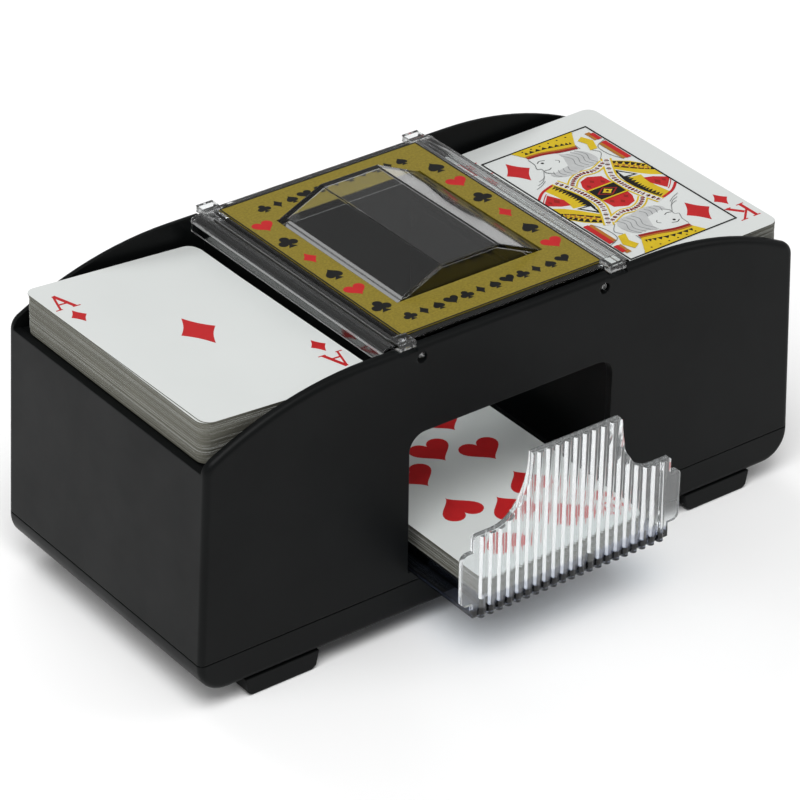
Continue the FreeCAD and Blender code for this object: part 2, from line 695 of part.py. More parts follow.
def battery_cells():
    cells = []
    for number in range(4):
        x = cell_x(number)
        can = rod_y(x, CELL_Z, CELL_R, -CELL_L / 2 + CELL_PIP_H, CELL_L / 2 - CELL_PIP_H)
        pip = rod_y(x, CELL_Z, CELL_PIP_R, 0, CELL_L / 2)
        if cell_facing(number) < 0:
            pip = rod_y(x, CELL_Z, CELL_PIP_R, -CELL_L / 2, 0)
        cells.append(fuse(can, pip))
    return group(cells)


def battery_contacts():
    """Thin plates on the bay's end walls, one pair to each cell."""
    plates = []
    for number in range(4):
        for side in (-1, 1):
            y0, y1 = sorted((side * CONTACT_Y, side * (CONTACT_Y + 0.6)))
            plates.append(box(cell_x(number) - 5, cell_x(number) + 5, y0, y1,
                              CELL_Z - 6, CELL_Z + 6))
    return group(plates)


def battery_springs():
    """One coil spring at each cell's flat end, standing on its plate."""
    springs = []
    for number in range(4):
        facing = cell_facing(number)
        coil = coil_spring(CELL_SPRING_R, CELL_SPRING_WIRE_R, CELL_SPRING_RISE, 4, 16)
        coil.rotate(V(0, 0, 0), V(1, 0, 0), -90 * facing)
        plate_gap = CELL_SPRING_WIRE_R + 0.05
        coil.translate(V(cell_x(number), -facing * (CONTACT_Y - plate_gap), CELL_Z))
        springs.append(coil)
    return group(springs)


def door_blank(gap):
    """Outline of the battery door; a gap makes the recess that it sits in."""
    return box(-BAY_X - DOOR_HALF_X - gap, -BAY_X + DOOR_HALF_X + gap,
               -DOOR_HALF_Y - gap, DOOR_HALF_Y + gap, BASE_Z - 1 if gap else BASE_Z, BASE_Z + DOOR_T)


def battery_door():
    door = door_blank(0)
    grips = [box(-BAY_X - 24 + 2 * step, -BAY_X - 23 + 2 * step, -9, 9, BASE_Z - 1, BASE_Z + 0.5)
             for step in range(5)]
    return cut(door, *grips)


def main():
    os.makedirs("parts", exist_ok=True)
    block = casing_block()
    save("upper_shell", upper_shell(block))
    save("base_tray", base_tray(block))
    save("feet", feet())
    save("case_screws", case_screws())
    save("tray_screws", tray_screws())
    one_side = {
        "tray_floor": tray_floor(),
        "gate_plate": gate_plate(),
        "drive_frame": drive_frame(),
        "shaft_bushes": shaft_bushes(),
        "feed_shaft": roller_shaft(FEED_X),
        "feed_rollers": rubber_rollers(FEED_X, FEED_ROLLER_R),
        "feed_gear": roller_gear(FEED_X, FEED_TEETH),
        "eject_shaft": roller_shaft(EJECT_X),
        "eject_rollers": rubber_rollers(EJECT_X, EJECT_ROLLER_R),
        "eject_gear": roller_gear(EJECT_X, EJECT_TEETH),
        "idler_pin": idler_pin(),
        "idler_gear": idler_gear(),
        "motor": motor_can(),
        "motor_pinion": motor_pinion(),
    }
    for name, shape in one_side.items():
        save("right_" + name, shape)
        save("left_" + name, mirror(shape))
    save("left_card_deck", mirror(tray_deck(**LEFT_DECK)))
    save("right_card_deck", tray_deck(**RIGHT_DECK))
    save("top_cover", top_cover())
    save("cover_label", cover_label())
    save("cover_springs", cover_springs())
    save("switch_body", switch_body())
    save("switch_button", switch_button())
    save("drawer", drawer())
    save("shuffled_cards", shuffled_cards())
    save("battery_cells", battery_cells())
    save("battery_contacts", battery_contacts())
    save("battery_springs", battery_springs())
    save("battery_door", battery_door())


main()
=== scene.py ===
"""Looks for the automatic card shuffler: materials, card stacks and printed art round the CAD frame."""
import bmesh
import bpy
import json
import math
import random
from mathutils import Matrix, Vector
from mathutils.geometry import tessellate_polygon


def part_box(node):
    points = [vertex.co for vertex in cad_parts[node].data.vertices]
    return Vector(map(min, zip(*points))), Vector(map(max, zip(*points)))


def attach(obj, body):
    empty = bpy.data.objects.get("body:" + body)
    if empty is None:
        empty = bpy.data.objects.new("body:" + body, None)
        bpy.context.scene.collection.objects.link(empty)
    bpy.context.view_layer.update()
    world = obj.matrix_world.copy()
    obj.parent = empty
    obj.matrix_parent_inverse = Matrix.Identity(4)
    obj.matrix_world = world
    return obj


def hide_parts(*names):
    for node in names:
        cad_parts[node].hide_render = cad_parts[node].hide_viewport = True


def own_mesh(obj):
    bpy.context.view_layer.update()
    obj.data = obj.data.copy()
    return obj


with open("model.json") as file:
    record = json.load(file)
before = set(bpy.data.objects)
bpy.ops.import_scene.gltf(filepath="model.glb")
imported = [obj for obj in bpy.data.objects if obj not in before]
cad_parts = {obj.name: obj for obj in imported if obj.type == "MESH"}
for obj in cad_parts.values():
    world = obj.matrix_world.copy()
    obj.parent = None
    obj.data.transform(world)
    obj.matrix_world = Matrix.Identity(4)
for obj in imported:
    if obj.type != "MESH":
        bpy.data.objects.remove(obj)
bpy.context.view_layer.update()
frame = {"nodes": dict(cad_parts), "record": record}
nodes = frame["nodes"]
MM = 0.001
# The dark tint of the lip in the drawer's material is painted shade, not a colour of the plastic.
DRAWER_LIP = 3.4 * MM                                   # height of the dark lip under the ribs
LIP_TOP_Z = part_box("drawer")[0][2] + DRAWER_LIP
FRONT_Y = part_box("shuffled_cards")[0][1]                # the drawer's ribbed front lies beyond this


# ---------------------------------------------------------------- shader helpers

def new_material(name):
    material = bpy.data.materials.new(name)
    material.use_nodes = True
    tree = material.node_tree
    return material, tree, tree.nodes["Principled BSDF"]


def add_node(tree, kind, inputs=None, **settings):
    node = tree.nodes.new(kind)
    for key, value in settings.items():
        setattr(node, key, value)
    for key, value in (inputs or {}).items():
        node.inputs[key].default_value = value
    return node


def object_coords(tree, scale=(1, 1, 1)):
    """Object coordinates stretched by a scale, so a grain can run one way."""
    coords = add_node(tree, "ShaderNodeTexCoord")
    mapping = add_node(tree, "ShaderNodeMapping", {"Scale": scale})
    tree.links.new(coords.outputs["Object"], mapping.inputs["Vector"])
    return mapping.outputs["Vector"]


def noise(tree, vector, scale, detail=3.0, rough=0.5):
    node = add_node(tree, "ShaderNodeTexNoise", {"Scale": scale, "Detail": detail, "Roughness": rough})
    tree.links.new(vector, node.inputs["Vector"])
    return node.outputs["Fac"]


def ramp(tree, factor, stops):
    """A colour ramp through (position, colour) stops; a grey may be one number."""
    node = add_node(tree, "ShaderNodeValToRGB")
    while len(node.color_ramp.elements) < len(stops):
        node.color_ramp.elements.new(0.5)
    for element, (position, colour) in zip(node.color_ramp.elements, stops):
        if isinstance(colour, (int, float)):
            colour = (colour, colour, colour)
        element.position = position
        element.color = (*colour, 1.0)
    tree.links.new(factor, node.inputs["Fac"])
    return node.outputs["Color"]


def bump(tree, shader, height, strength, distance, edge_radius=0.0):
    """Fine relief; an edge radius also softens sharp edges in the light."""
    node = add_node(tree, "ShaderNodeBump", {"Strength": strength, "Distance": distance})
    tree.links.new(height, node.inputs["Height"])
    if edge_radius:
        soft_edge = add_node(tree, "ShaderNodeBevel", {"Radius": edge_radius}, samples=4)
        tree.links.new(soft_edge.outputs["Normal"], node.inputs["Normal"])
    tree.links.new(node.outputs["Normal"], shader.inputs["Normal"])


def map_range(tree, value, start, end):
    """The value's way from start to end, as 0 to 1."""
    node = add_node(tree, "ShaderNodeMapRange", {"From Min": start, "From Max": end})
    tree.links.new(value, node.inputs["Value"])
    return node.outputs["Result"]


def shade(colour, factor):
    return tuple(channel * factor for channel in colour)


# ---------------------------------------------------------------- materials

def moulded_plastic(name, colour, roughness, grain=0.12, specular=0.5, edge_radius=0.0):
    """Satin moulded plastic: fine spark texture, faint flow marks and uneven sheen."""
    material, tree, shader = new_material(name)
    coords = object_coords(tree)
    flow = noise(tree, coords, 18.0, 4.0)
    tree.links.new(ramp(tree, flow, [(0.3, shade(colour, 0.85)), (0.7, shade(colour, 1.2))]),
                   shader.inputs["Base Color"])
    smudge = noise(tree, coords, 45.0, 5.0, 0.6)
    tree.links.new(ramp(tree, smudge, [(0.3, roughness - 0.05), (0.72, roughness + 0.07)]),
                   shader.inputs["Roughness"])
    bump(tree, shader, noise(tree, coords, 2600.0, 2.0), grain, 0.00012, edge_radius)
    shader.inputs["Specular IOR Level"].default_value = specular
    return material


def clear_plastic(name, tint, roughness, milk=0.0, edge_radius=0.00025):
    """Clear moulded plastic that lets light through to what lies behind it.

    With milk, the ribbed front of a tray is a little cloudy, and its lower lip is tinted dark blue-grey as
    painted shade.
    """
    material, tree, shader = new_material(name)
    shader.inputs["Base Color"].default_value = (*tint, 1.0)
    shader.inputs["Transmission Weight"].default_value = 1.0
    shader.inputs["IOR"].default_value = 1.49
    coords = object_coords(tree)
    haze = noise(tree, coords, 120.0, 4.0, 0.6)
    tree.links.new(ramp(tree, haze, [(0.35, roughness), (0.75, roughness + 0.05)]),
                   shader.inputs["Roughness"])
    bump(tree, shader, noise(tree, coords, 60.0, 1.0), 0.04, 0.0004, edge_radius)
    surface = shader.outputs["BSDF"]
    if milk:
        split = add_node(tree, "ShaderNodeSeparateXYZ")
        tree.links.new(coords, split.inputs["Vector"])
        # painted shade: below the lip top the base colour turns dark blue-grey, standing in for the dark gap
        # seen through the clear lip
        painted_shade_lip = ramp(tree, map_range(tree, split.outputs["Z"], LIP_TOP_Z - 0.0004, LIP_TOP_Z + 0.0004),
                   [(0.0, (0.3, 0.33, 0.42)), (1.0, tint)])
        tree.links.new(painted_shade_lip, shader.inputs["Base Color"])
        cloud = add_node(tree, "ShaderNodeBsdfDiffuse", {"Color": (0.86, 0.88, 0.88, 1.0)})
        on_front = map_range(tree, split.outputs["Y"], FRONT_Y, FRONT_Y - 0.0006)
        above_lip = map_range(tree, split.outputs["Z"], LIP_TOP_Z - 0.0004, LIP_TOP_Z + 0.0004)
        both = add_node(tree, "ShaderNodeMath", operation="MULTIPLY")
        tree.links.new(on_front, both.inputs[0])
        tree.links.new(above_lip, both.inputs[1])
        share = add_node(tree, "ShaderNodeMath", {1: milk}, operation="MULTIPLY")
        tree.links.new(both.outputs[0], share.inputs[0])
        blend = add_node(tree, "ShaderNodeMixShader")
        tree.links.new(share.outputs[0], blend.inputs["Fac"])
        tree.links.new(surface, blend.inputs[1])
        tree.links.new(cloud.outputs["BSDF"], blend.inputs[2])
        surface = blend.outputs["Shader"]
    see_through = add_node(tree, "ShaderNodeBsdfTransparent", {"Color": (*shade(tint, 0.93), 1.0)})
    path = add_node(tree, "ShaderNodeLightPath")
    mix = add_node(tree, "ShaderNodeMixShader")
    tree.links.new(path.outputs["Is Shadow Ray"], mix.inputs["Fac"])
    tree.links.new(surface, mix.inputs[1])
    tree.links.new(see_through.outputs["BSDF"], mix.inputs[2])
    tree.links.new(mix.outputs["Shader"], tree.nodes["Material Output"].inputs["Surface"])
    return material


def card_face(name, colour):
    """Coated card: a faint linen press and a soft gloss."""
    material, tree, shader = new_material(name)
    coords = object_coords(tree)
    tone = noise(tree, coords, 30.0, 3.0)
    tree.links.new(ramp(tree, tone, [(0.3, shade(colour, 0.97)), (0.7, colour)]),
                   shader.inputs["Base Color"])
    bump(tree, shader, noise(tree, coords, 1500.0, 2.0), 0.05, 0.0001)
    shader.inputs["Roughness"].default_value = 0.42
    shader.inputs["Specular IOR Level"].default_value = 0.3
    return material


def card_edge_painted_shade(name, colour):
    """Cut edges of a deck: fine layers with slightly different greys. The dark base colour it is given is
    painted shade of the stack's shaded sides.
    """
    material, tree, shader = new_material(name)
    layers = noise(tree, object_coords(tree, (4, 4, 1800)), 1.0, 2.0, 0.7)
    blotch = noise(tree, object_coords(tree, (60, 60, 200)), 1.0, 3.0)
    layer_tone = ramp(tree, layers, [(0.3, shade(colour, 0.8)), (0.7, shade(colour, 1.12))])
    blotch_tone = ramp(tree, blotch, [(0.3, 0.82), (0.7, 1.0)])
    mix = add_node(tree, "ShaderNodeMix", data_type="RGBA", blend_type="MULTIPLY")
    mix.inputs["Factor"].default_value = 1.0
    tree.links.new(layer_tone, mix.inputs["A"])
    tree.links.new(blotch_tone, mix.inputs["B"])
    tree.links.new(mix.outputs["Result"], shader.inputs["Base Color"])
    bump(tree, shader, layers, 0.3, 0.0001)
    shader.inputs["Roughness"].default_value = 0.75
    return material


def printed(name, colour, roughness=0.4):
    """Printing ink with slightly uneven cover."""
    material, tree, shader = new_material(name)
    cover = noise(tree, object_coords(tree), 260.0, 3.0)
    tree.links.new(ramp(tree, cover, [(0.3, shade(colour, 0.88)), (0.7, colour)]),
                   shader.inputs["Base Color"])
    shader.inputs["Roughness"].default_value = roughness
    shader.inputs["Specular IOR Level"].default_value = 0.15
    return material


def gold_paper(name, colour):
    """Mustard-gold printed sheet with a fine metallic fleck."""
    material, tree, shader = new_material(name)
    coords = object_coords(tree)
    fleck = noise(tree, coords, 1400.0, 2.0, 0.7)
    tree.links.new(ramp(tree, fleck, [(0.3, shade(colour, 0.8)), (0.72, shade(colour, 1.2))]),
                   shader.inputs["Base Color"])
    sheen = noise(tree, coords, 22.0, 3.0)
    tree.links.new(ramp(tree, sheen, [(0.3, 0.34), (0.7, 0.46)]), shader.inputs["Roughness"])
    shader.inputs["Metallic"].default_value = 0.15
    shader.inputs["Specular IOR Level"].default_value = 0.25
    return material


def metal(name, colour, roughness, grain_axis):
    """Drawn or turned steel with fine scratches along one axis."""
    material, tree, shader = new_material(name)
    stretch = tuple(40 if axis == grain_axis else 1400 for axis in range(3))
    scratch = noise(tree, object_coords(tree, stretch), 1.0, 3.0)
    tree.links.new(ramp(tree, scratch, [(0.3, shade(colour, 0.8)), (0.7, colour)]),
                   shader.inputs["Base Color"])
    tree.links.new(ramp(tree, scratch, [(0.3, roughness), (0.7, roughness + 0.15)]),
                   shader.inputs["Roughness"])
    bump(tree, shader, scratch, 0.1, 0.00005)
    shader.inputs["Metallic"].default_value = 1.0
    return material


def rubber(name, colour):
    material, tree, shader = new_material(name)
    coords = object_coords(tree)
    dust = noise(tree, coords, 90.0, 4.0, 0.6)
    tree.links.new(ramp(tree, dust, [(0.35, colour), (0.75, shade(colour, 1.7))]),
                   shader.inputs["Base Color"])
    bump(tree, shader, noise(tree, coords, 900.0, 2.0), 0.25, 0.0002)
    shader.inputs["Roughness"].default_value = 0.8
    return material


BLACK = moulded_plastic("satin_black_plastic", (0.0035, 0.004, 0.0041), 0.42, specular=0.1,
                        edge_radius=0.0005)
GEAR = moulded_plastic("white_gear_plastic", (0.6, 0.6, 0.55), 0.42)
BUSH = moulded_plastic("ivory_bush_plastic", (0.52, 0.5, 0.42), 0.45)
SWITCH = moulded_plastic("grey_switch_plastic", (0.04, 0.04, 0.05), 0.4)
CLEAR = clear_plastic("clear_plastic", (0.97, 0.985, 0.985), 0.01, edge_radius=0.0006)
CLEAR_DRAWER = clear_plastic("clear_drawer_plastic", (0.95, 0.975, 0.985), 0.015, 0.12, 0.0)
FACE = card_face("card_face", (0.575, 0.595, 0.585))
# the deck edges' dark grey-green is painted shade: the sides of the stacks lie in shade
EDGE_PAINTED_SHADE = card_edge_painted_shade("card_edge_painted_shade", (0.122, 0.12, 0.096))
RED = printed("red_ink", (0.43, 0.016, 0.018))
DEEP_RED = printed("deep_red_ink", (0.25, 0.012, 0.01))
INK = printed("black_ink", (0.008, 0.008, 0.008))
YELLOW = printed("yellow_ink", (0.56, 0.4, 0.015))
ORANGE = printed("orange_ink", (0.36, 0.14, 0.02))
GREY = printed("grey_ink", (0.44, 0.45, 0.45))
LINE_GREY = printed("line_grey_ink", (0.17, 0.18, 0.18))
GOLD = gold_paper("gold_label", (0.215, 0.165, 0.019))
STEEL = metal("turned_steel", (0.55, 0.55, 0.56), 0.28, 1)
MOTOR = metal("motor_steel", (0.5, 0.5, 0.51), 0.35, 1)
SPRING = metal("spring_steel", (0.62, 0.62, 0.64), 0.2, 2)
RUBBER = rubber("roller_rubber", (0.022, 0.022, 0.024))
CELL = moulded_plastic("cell_wrap", (0.02, 0.06, 0.03), 0.3)

SLOT_LOOKS = {
    "black_plastic": BLACK, "gear_plastic": GEAR, "bush_plastic": BUSH, "switch_plastic": SWITCH,
    "clear_plastic": CLEAR, "card_paper": FACE, "gold_label": GOLD, "steel": STEEL,
    "motor_steel": MOTOR, "spring_steel": SPRING, "roller_rubber": RUBBER, "cell_wrap": CELL,
}


def dress_cad_nodes():
    for part in frame["record"]["subparts"]:
        look = SLOT_LOOKS[part["material_slot"]]
        if part["node"] == "drawer":
            look = CLEAR_DRAWER
        mesh = nodes[part["node"]].data
        mesh.materials.clear()
        mesh.materials.append(look)


# ---------------------------------------------------------------- flat print shapes, in millimetres

def outline_heart(height, turned=False):
    """Heart outline centred on the origin, its tip down."""
    flip = -1 if turned else 1
    points = []
    for step in range(40):
        angle = 2 * math.pi * step / 40
        x = 16 * math.sin(angle) ** 3
        y = 13 * math.cos(angle) - 5 * math.cos(2 * angle) - 2 * math.cos(3 * angle) - math.cos(4 * angle)
        points.append((flip * x * height / 30, flip * (y + 2.6) * height / 30))
    return points


def outline_diamond(width, height, hollow=0.12):
    """Diamond with gently hollow sides."""
    tips = [(width / 2, 0), (0, height / 2), (-width / 2, 0), (0, -height / 2)]
    points = []
    for number, start in enumerate(tips):
        end = tips[(number + 1) % 4]
        for step in range(6):
            share = step / 6
            pull = 1 - hollow * 4 * share * (1 - share)
            points.append(((start[0] * (1 - share) + end[0] * share) * pull,
                           (start[1] * (1 - share) + end[1] * share) * pull))
    return points


def outline_disc(x, y, radius, steps=20):
    return [(x + radius * math.cos(2 * math.pi * step / steps),
             y + radius * math.sin(2 * math.pi * step / steps)) for step in range(steps)]


def outline_stroke(start, end, width):
    """A straight stroke of ink from start to end."""
    along = Vector(end) - Vector(start)
    aside = Vector((-along.y, along.x)).normalized() * width / 2
    return [tuple(Vector(p) + side * aside) for p, side in ((start, 1), (start, -1), (end, -1), (end, 1))]


def outline_box(u0, v0, u1, v1):
    return [(u0, v0), (u1, v0), (u1, v1), (u0, v1)]


def line_round(half_u, half_v, line):
    """A rectangle's line, as its outer and inner loop."""
    return [outline_box(-half_u, -half_v, half_u, half_v),
            outline_box(-half_u + line, -half_v + line, half_u - line, half_v - line)]


def stem(height):
    """Flared stalk under a spade or a club."""
    return [(0.06 * height, 0.0), (0.09 * height, -0.3 * height), (0.24 * height, -0.5 * height),
            (-0.24 * height, -0.5 * height), (-0.09 * height, -0.3 * height), (-0.06 * height, 0.0)]


def suit_shapes(suit, height):
    """Outlines that make one suit pip, its centre on the origin."""
    if suit == "heart":
        return [outline_heart(height)]
    if suit == "diamond":
        return [outline_diamond(height * 0.72, height)]
    if suit == "spade":
        blade = [(x * 0.92, y + height * 0.09) for x, y in outline_heart(height * 0.84, True)]
        return [blade, stem(height)]
    lobes = [outline_disc(0, height * 0.25, height * 0.235)]
    lobes += [outline_disc(side * height * 0.26, -height * 0.08, height * 0.235) for side in (-1, 1)]
    return lobes + [outline_disc(0, height * 0.03, height * 0.12), stem(height)]


def moved(outlines, u, v, turn=0.0):
    """Outlines turned by an angle in degrees and moved to (u, v)."""
    cosine, sine = math.cos(math.radians(turn)), math.sin(math.radians(turn))
    return [[(u + x * cosine - y * sine, v + x * sine + y * cosine) for x, y in points]
            for points in outlines]


def both_ways(outlines):
    """A design and its half-turned twin, as on every card."""
    return outlines + moved(outlines, 0, 0, 180)


def letter_a(size):
    """Capital A with slab serifs, as a card index."""
    half, low, high = size * 0.4, -size / 2, size / 2
    return [outline_stroke((-half * 0.8, low), (0, high), size * 0.09),
            outline_stroke((half * 0.8, low), (0, high), size * 0.17),
            outline_stroke((-half * 0.52, low * 0.3), (half * 0.52, low * 0.3), size * 0.09),
            outline_box(-half - 0.9, low - 0.2, -half + 1.3, low + 0.25),
            outline_box(half - 1.6, low - 0.2, half + 0.9, low + 0.25)]


def letter_k(size):
    """Capital K with slab serifs, as a card index."""
    left, low, high = -size * 0.3, -size / 2, size / 2
    return [outline_stroke((left, low), (left, high), size * 0.15),
            outline_stroke((left, low * 0.2), (size * 0.3, high), size * 0.09),
            outline_stroke((-size * 0.08, size * 0.04), (size * 0.34, low), size * 0.16),
            outline_box(left - 1.3, low - 0.2, left + 1.3, low + 0.25),
            outline_box(left - 1.3, high - 0.25, left + 1.3, high + 0.2),
            outline_box(size * 0.3 - 1.2, low - 0.2, size * 0.3 + 1.5, low + 0.25),
            outline_box(size * 0.3 - 1.3, high - 0.25, size * 0.3 + 1.2, high + 0.2)]


def number_ten(size):
    """The index 10: a serifed bar and a ring, which is drawn as short strokes."""
    low, high = -size / 2, size / 2
    bar_u, ring_u = -size * 0.34, size * 0.2
    parts = [outline_stroke((bar_u, low), (bar_u, high), size * 0.15),
             outline_box(bar_u - 1.1, low - 0.2, bar_u + 1.1, low + 0.25),
             outline_stroke((bar_u - 1.0, high - 1.4), (bar_u, high - 0.3), 0.5)]
    for step in range(24):
        ends = []
        for turn in (step, step + 1.15):
            angle = 2 * math.pi * turn / 24
            ends.append((ring_u + size * 0.21 * math.sin(angle), size * 0.43 * math.cos(angle)))
        parts.append(outline_stroke(ends[0], ends[1], size * 0.12))
    return parts


# ---------------------------------------------------------------- mesh helpers

def add_slab(mesh, loops, low, high, place):
    """A closed thin slab from flat loops; place maps (u, v, lift) in millimetres to metres."""
    triangles = tessellate_polygon([[Vector((u, v, 0)) for u, v in loop] for loop in loops])
    flat = [point for loop in loops for point in loop]
    under = [mesh.verts.new(place(u, v, low)) for u, v in flat]
    over = [mesh.verts.new(place(u, v, high)) for u, v in flat]
    faces = []
    for a, b, c in triangles:
        if len({a, b, c}) == 3:
            faces.append(mesh.faces.new((over[a], over[b], over[c])))
            faces.append(mesh.faces.new((under[c], under[b], under[a])))
    start = 0
    for loop in loops:
        count = len(loop)
        for number in range(count):
            here, there = start + number, start + (number + 1) % count
            faces.append(mesh.faces.new((under[here], under[there], over[there], over[here])))
        start += count
    bmesh.ops.recalc_face_normals(mesh, faces=faces)
    return faces


def finish_piece(mesh, name, materials, body):
    data = bpy.data.meshes.new(name)
    mesh.to_mesh(data)
    mesh.free()
    for material in materials:
        data.materials.append(material)
    piece = bpy.data.objects.new(name, data)
    bpy.context.scene.collection.objects.link(piece)
    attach(piece, body)
    return piece


SHEET_T = 0.02
SHEET_STEP = 0.0006


def print_piece(name, outlines, material, body, place, lift=0.0, thick=SHEET_T):
    """One colour of print: every outline becomes a closed sheet of ink.

    Neighbouring sheets differ a little in thickness, so that no two tops share a plane.
    """
    mesh = bmesh.new()
    for number, points in enumerate(outlines):
        loops = points if isinstance(points[0], list) else [points]
        add_slab(mesh, loops, lift, lift + thick + SHEET_STEP * (number % 7), place)
    return finish_piece(mesh, name, [material], body)


# ---------------------------------------------------------------- card stacks

CARD_HALF = (29.0, 44.0)
CARD_CORNER = 3.3
CARD_SHRINK = 0.35      # cards lie this far inside their block, so that they can be uneven
CARD_GAP = 0.06         # share of each card's thickness left as a gap over it
MOST_DRIFT = 0.45       # largest shift from one card to the next, as a share of the spread
MOST_TURN = 0.12        # largest turn of a card in degrees, as a share of the spread


def card_outline(shrink):
    """A playing card with round corners, anticlockwise."""
    points = []
    half_u, half_v = CARD_HALF[0] - shrink, CARD_HALF[1] - shrink
    for number, (side_u, side_v) in enumerate(((1, 1), (-1, 1), (-1, -1), (1, -1))):
        for step in range(7):
            angle = math.pi / 2 * (number + step / 6)
            points.append((side_u * (half_u - CARD_CORNER) + CARD_CORNER * math.cos(angle),
                           side_v * (half_v - CARD_CORNER) + CARD_CORNER * math.sin(angle)))
    return points


def deck_stack(name, node, body, count, seed, spread, top_turn, bottom_z, top_z):
    """A stack of single cards that fills its CAD block.

    bottom_z and top_z give the block's lower and upper faces at a place along X,
    in metres. Returns the placing of print on the top card.
    """
    low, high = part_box(node)
    centre = ((low[0] + high[0]) / 2, (low[1] + high[1]) / 2)
    rng = random.Random(seed)
    mesh = bmesh.new()
    shape = card_outline(CARD_SHRINK)
    drift_u = drift_v = 0.0

    def placing(share_low, share_high, shift_u, shift_v, turn):
        cosine, sine = math.cos(math.radians(turn)), math.sin(math.radians(turn))

        def place(u, v, lift):
            x = centre[0] + (u * cosine - v * sine + shift_u) * MM
            y = centre[1] + (u * sine + v * cosine + shift_v) * MM
            share = share_low + (share_high - share_low) * lift
            floor, roof = bottom_z(x), top_z(x)
            return (x, y, floor + (roof - floor) * share)

        return place

    for number in range(count):
        drift_u = max(-spread, min(spread, drift_u + rng.uniform(-MOST_DRIFT, MOST_DRIFT) * spread))
        drift_v = max(-spread, min(spread, drift_v + rng.uniform(-MOST_DRIFT, MOST_DRIFT) * spread))
        turn = rng.uniform(-MOST_TURN, MOST_TURN) * spread
        if number == count - 1:
            drift_u, drift_v, turn = 0.0, 0.0, top_turn
        place = placing(number / count, (number + 1 - CARD_GAP) / count, drift_u, drift_v, turn)
        faces = add_slab(mesh, [shape], 0.0, 1.0, place)
        # side faces take the edge material, whose dark grey is painted shade
        for face in faces[len(faces) - len(shape):]:
            face.material_index = 1
    piece = finish_piece(mesh, name, [FACE, EDGE_PAINTED_SHADE], body)
    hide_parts(node)
    cosine, sine = math.cos(math.radians(top_turn)), math.sin(math.radians(top_turn))

    def on_top(u, v, lift):
        x = centre[0] + (u * cosine - v * sine) * MM
        y = centre[1] + (u * sine + v * cosine) * MM
        floor, roof = bottom_z(x), top_z(x)
        return (x, y, floor + (roof - floor) * (count - CARD_GAP) / count + lift * MM)

    return on_top


def face_height(node, upper):
    """Height of a block's sloping upper or lower face, as a function of X."""
    corners = [v.co for v in nodes[node].data.vertices]
    ends = []
    for x_end in (min(c.x for c in corners), max(c.x for c in corners)):
        heights = [c.z for c in corners if abs(c.x - x_end) < 1e-5]
        ends.append((x_end, max(heights) if upper else min(heights)))
    (x0, z0), (x1, z1) = ends
    return lambda x: z0 + (z1 - z0) * (x - x0) / (x1 - x0)


def left_deck():
    node = "left_card_deck"
    on_top = deck_stack("left_deck_cards", node, "left_deck", 44, 11, 0.16, 0.9,
                        face_height(node, False), face_height(node, True))
    art = [outline_diamond(11.4, 16.4)]
    corner = moved(letter_a(7.8), -23.4, 32.8) + moved([outline_diamond(5.0, 7.2)], -23.4, 23.6)
    print_piece("ace_print", art + both_ways(corner), RED, "left_deck", on_top)


TEN_SHIFT = -2.0    # the print on this card sits a little off its middle, in millimetres


def drawer_stack():
    node = "shuffled_cards"
    low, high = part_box(node)
    on_top = deck_stack("shuffled_deck_cards", node, "drawer", 20, 37, 0.25, 0.0,
                        lambda x: low[2], lambda x: high[2])
    upright = [(side * 12.2, v) for side in (-1, 1) for v in (29.0, 9.65)] + [(0.0, 17.5)]
    pips = []
    for u, v in upright:
        pips += moved([outline_heart(12.2)], u, v)
    corner = moved(number_ten(7.4), -24.0, 34.6) + moved([outline_heart(5.6)], -24.0, 26.4)
    art = moved(both_ways(pips + corner), 0, TEN_SHIFT)
    print_piece("ten_print", art, RED, "drawer", on_top)


# ---------------------------------------------------------------- king card

FRAME_HALF = (19.9, 35.0)
FRAME_LINE = 0.35
FRAME_T = 0.24
LAYER_STEP = 0.007      # each ink of the king lies this much over the one before
LAYER_T = 0.008


def smooth(points, steps=5):
    """Points along a soft curve that passes through the given points."""
    ends = [points[0]] + list(points) + [points[-1]]
    path = []
    for a, b, c, d in zip(ends, ends[1:], ends[2:], ends[3:]):
        a, b, c, d = Vector(a), Vector(b), Vector(c), Vector(d)
        for step in range(steps):
            t = step / steps
            path.append(0.5 * (2 * b + (c - a) * t + (2 * a - 5 * b + 4 * c - d) * t * t
                               + (3 * b - a - 3 * c + d) * t ** 3))
    return path + [Vector(points[-1])]


def across(path, number):
    """Unit vector across a path at one of its points."""
    along = path[min(number + 1, len(path) - 1)] - path[max(number - 1, 0)]
    return Vector((-along.y, along.x)).normalized()


def ribbon(points, width):
    """A curved band of even width through the points."""
    path = smooth(points)
    sides = [[tuple(point + side * width / 2 * across(path, number)) for number, point in enumerate(path)]
             for side in (-1, 1)]
    return sides[0] + sides[1][::-1]


def rungs(points, width, length, steps=4):
    """Short marks across a curved band, like stitches."""
    path = smooth(points, steps)
    marks = []
    for number in range(1, len(path) - 1):
        aside = across(path, number) * width / 2
        marks.append(outline_stroke(tuple(path[number] - aside), tuple(path[number] + aside), length))
    return marks


def teeth(points, depth, steps=3):
    """A row of triangles that stand on a curve."""
    path = smooth(points, steps)
    return [[tuple(a), tuple(b), tuple((a + b) / 2 + depth * Vector((a.y - b.y, b.x - a.x)).normalized())]
            for a, b in zip(path, path[1:])]


